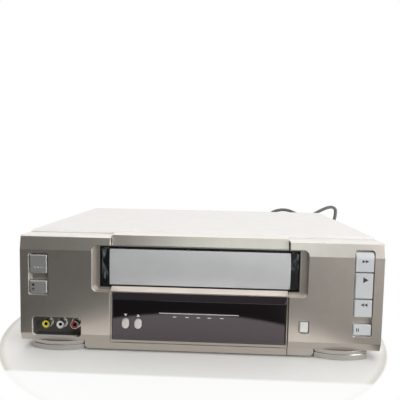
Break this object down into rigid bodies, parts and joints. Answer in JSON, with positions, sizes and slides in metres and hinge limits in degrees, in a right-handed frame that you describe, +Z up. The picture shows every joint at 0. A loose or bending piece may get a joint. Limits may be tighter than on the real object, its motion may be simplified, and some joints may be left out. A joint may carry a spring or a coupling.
{
  "type": "vhs_video_cassette_recorder",
  "caption": "Video cassette recorder with a silver flap door, dark display window, front sockets, opening deck and a coiled power cord",
  "frame": {"origin": "centre of the footprint of the case, on the surface the feet stand on", "axes": "+X to the right as seen from the front, +Y from the front to the rear, +Z up"},
  "size_m": [0.3841, 0.364, 0.1243],
  "materials": {
    "panel_plastic": "injection moulded plastic, warm grey metallic paint",
    "silver_plastic": "silver painted plastic, satin",
    "white_plastic": "glossy off-white plastic",
    "mirror_black": "black plastic polished like a mirror",
    "smoked_window": "smoked acrylic, polished",
    "display_glass": "dark glass of a fluorescent display",
    "black_plastic": "black moulded plastic",
    "circuit_board": "laminate with solder mask",
    "painted_sheet": "off-white powder coated steel sheet",
    "plated_sheet": "zinc plated steel sheet",
    "polished_steel": "polished steel",
    "cast_aluminium": "turned and cast aluminium",
    "black_rubber": "soft black rubber",
    "yellow_socket": "yellow plastic ring round a plated sleeve",
    "white_socket": "white plastic ring round a plated sleeve",
    "red_socket": "red plastic ring round a plated sleeve",
    "cord_plastic": "grey flexible plastic"
  },
  "bodies": {
    "case": {"front_panel": "panel_plastic", "top_trim": "panel_plastic", "window_frame": "panel_plastic", "door_pins": "polished_steel", "display_window": "smoked_window", "display_tube": "display_glass", "display_board": "circuit_board", "key_boards": "circuit_board", "front_video_jack": "yellow_socket", "front_left_audio_jack": "white_socket", "front_right_audio_jack": "red_socket", "jack_bay": "panel_plastic", "top_cover": "painted_sheet", "bottom_chassis": "plated_sheet", "rear_panel": "plated_sheet", "cover_screws": "polished_steel", "front_feet": "silver_plastic", "rear_feet": "black_plastic", "rear_jack_block": "panel_plastic", "rear_video_jacks": "yellow_socket", "rear_left_audio_jacks": "white_socket", "rear_right_audio_jacks": "red_socket", "rf_modulator": "plated_sheet", "main_board": "circuit_board", "power_board": "circuit_board", "deck_plate": "plated_sheet", "lower_drum": "cast_aluminium", "capstan_motor": "cast_aluminium", "tape_heads": "polished_steel", "loading_motor": "cast_aluminium", "carriage_frame": "plated_sheet", "strain_relief": "cord_plastic", "power_cord": "cord_plastic", "cord_coil": "cord_plastic", "power_plug": "cord_plastic"},
    "power_button": {"power_button": "silver_plastic"},
    "stop_eject_button": {"stop_eject_button": "silver_plastic"},
    "fast_forward_button": {"fast_forward_button": "silver_plastic"},
    "play_button": {"play_button": "silver_plastic"},
    "rewind_button": {"rewind_button": "silver_plastic"},
    "pause_button": {"pause_button": "silver_plastic"},
    "record_button": {"record_button": "white_plastic"},
    "channel_down_button": {"channel_down_button": "silver_plastic"},
    "channel_up_button": {"channel_up_button": "silver_plastic"},
    "door": {"cassette_door": "silver_plastic", "door_end_caps": "mirror_black"},
    "drum": {"upper_drum": "cast_aluminium"},
    "supply_reel": {"supply_reel": "black_plastic"},
    "takeup_reel": {"takeup_reel": "black_plastic"},
    "idler_arm": {"idler_arm": "polished_steel"},
    "idler_wheel": {"idler_wheel": "black_rubber"},
    "capstan": {"capstan": "polished_steel"},
    "pinch_arm": {"pinch_arm": "polished_steel"},
    "pinch_roller": {"pinch_roller": "black_rubber"},
    "supply_guide": {"supply_guide": "polished_steel"},
    "takeup_guide": {"takeup_guide": "polished_steel"},
    "loading_worm": {"loading_worm": "white_plastic"},
    "loading_cam": {"loading_cam": "white_plastic"},
    "slider": {"carriage_slider": "plated_sheet"},
    "basket": {"cassette_basket": "white_plastic"}
  },
  "joints": [
    {"name": "power_button_press", "type": "slide", "parent": "case", "child": "power_button", "axis": [0, 1, 0], "range_m": [0, 0.0012], "stiffness_N_per_m": 600, "springref_m": -0.0004},
    {"name": "stop_eject_button_press", "type": "slide", "parent": "case", "child": "stop_eject_button", "axis": [0, 1, 0], "range_m": [0, 0.0012], "stiffness_N_per_m": 600, "springref_m": -0.0004},
    {"name": "fast_forward_button_press", "type": "slide", "parent": "case", "child": "fast_forward_button", "axis": [0, 1, 0], "range_m": [0, 0.0012], "stiffness_N_per_m": 600, "springref_m": -0.0004},
    {"name": "play_button_press", "type": "slide", "parent": "case", "child": "play_button", "axis": [0, 1, 0], "range_m": [0, 0.0012], "stiffness_N_per_m": 600, "springref_m": -0.0004},
    {"name": "rewind_button_press", "type": "slide", "parent": "case", "child": "rewind_button", "axis": [0, 1, 0], "range_m": [0, 0.0012], "stiffness_N_per_m": 600, "springref_m": -0.0004},
    {"name": "pause_button_press", "type": "slide", "parent": "case", "child": "pause_button", "axis": [0, 1, 0], "range_m": [0, 0.0012], "stiffness_N_per_m": 600, "springref_m": -0.0004},
    {"name": "record_button_press", "type": "slide", "parent": "case", "child": "record_button", "axis": [0, 1, 0], "range_m": [0, 0.0012], "stiffness_N_per_m": 600, "springref_m": -0.0004},
    {"name": "channel_down_button_press", "type": "slide", "parent": "case", "child": "channel_down_button", "axis": [0, 1, 0], "range_m": [0, 0.0008], "stiffness_N_per_m": 600, "springref_m": -0.0004},
    {"name": "channel_up_button_press", "type": "slide", "parent": "case", "child": "channel_up_button", "axis": [0, 1, 0], "range_m": [0, 0.0008], "stiffness_N_per_m": 600, "springref_m": -0.0004},
    {"name": "door_hinge", "type": "hinge", "parent": "case", "child": "door", "pos_m": [0, -0.1202, 0.0991], "axis": [1, 0, 0], "range_deg": [0, 88], "stiffness_Nm_per_rad": 0.02, "springref_deg": -17.19},
    {"name": "carriage_in", "type": "slide", "parent": "case", "child": "slider", "axis": [0, 1, 0], "range_m": [0, 0.062]},
    {"name": "carriage_drop", "type": "slide", "parent": "slider", "child": "basket", "axis": [0, 0, 1], "range_m": [-0.0271, 0]},
    {"name": "drum_spin", "type": "hinge", "parent": "case", "child": "drum", "pos_m": [0, 0.065, 0.057], "axis": [0, 0.1045, 0.9945], "continuous": true},
    {"name": "supply_reel_spin", "type": "hinge", "parent": "case", "child": "supply_reel", "pos_m": [-0.046, -0.041, 0.038], "axis": [0, 0, 1], "continuous": true},
    {"name": "takeup_reel_spin", "type": "hinge", "parent": "case", "child": "takeup_reel", "pos_m": [0.046, -0.041, 0.038], "axis": [0, 0, 1], "continuous": true},
    {"name": "idler_swing", "type": "hinge", "parent": "case", "child": "idler_arm", "pos_m": [0, -0.071, 0.038], "axis": [0, 0, 1], "range_deg": [-9, 9]},
    {"name": "idler_spin", "type": "hinge", "parent": "idler_arm", "child": "idler_wheel", "pos_m": [0, -0.041, 0.038], "axis": [0, 0, 1], "continuous": true},
    {"name": "capstan_spin", "type": "hinge", "parent": "case", "child": "capstan", "pos_m": [0.066, 0.037, 0.027], "axis": [0, 0, 1], "continuous": true},
    {"name": "pinch_swing", "type": "hinge", "parent": "case", "child": "pinch_arm", "pos_m": [0.09, 0.029, 0.039], "axis": [0, 0, -1], "range_deg": [0, 27.5]},
    {"name": "pinch_spin", "type": "hinge", "parent": "pinch_arm", "child": "pinch_roller", "pos_m": [0.07311, 0.01925, 0.05], "axis": [0, 0, 1], "continuous": true},
    {"name": "loading_cam_turn", "type": "hinge", "parent": "case", "child": "loading_cam", "pos_m": [-0.072, 0.065, 0.045], "axis": [0, 0, 1], "range_deg": [0, 170]},
    {"name": "loading_worm_spin", "type": "hinge", "parent": "case", "child": "loading_worm", "pos_m": [-0.072, 0.0875, 0.0471], "axis": [1, 0, 0], "range_deg": [0, 6120]},
    {"name": "supply_guide_slide", "type": "slide", "parent": "case", "child": "supply_guide", "axis": [-0.1961, 0.9806, 0], "range_m": [0, 0.05098]},
    {"name": "takeup_guide_slide", "type": "slide", "parent": "case", "child": "takeup_guide", "axis": [0.1961, 0.9806, 0], "range_m": [0, 0.05098]}
  ],
  "couplings": [
    {"joint": "loading_cam_turn", "follows": "supply_guide_slide", "rad_per_m": 58.189},
    {"joint": "loading_worm_spin", "follows": "supply_guide_slide", "rad_per_m": 2094.8},
    {"joint": "takeup_guide_slide", "follows": "supply_guide_slide", "ratio": 1}
  ]
}
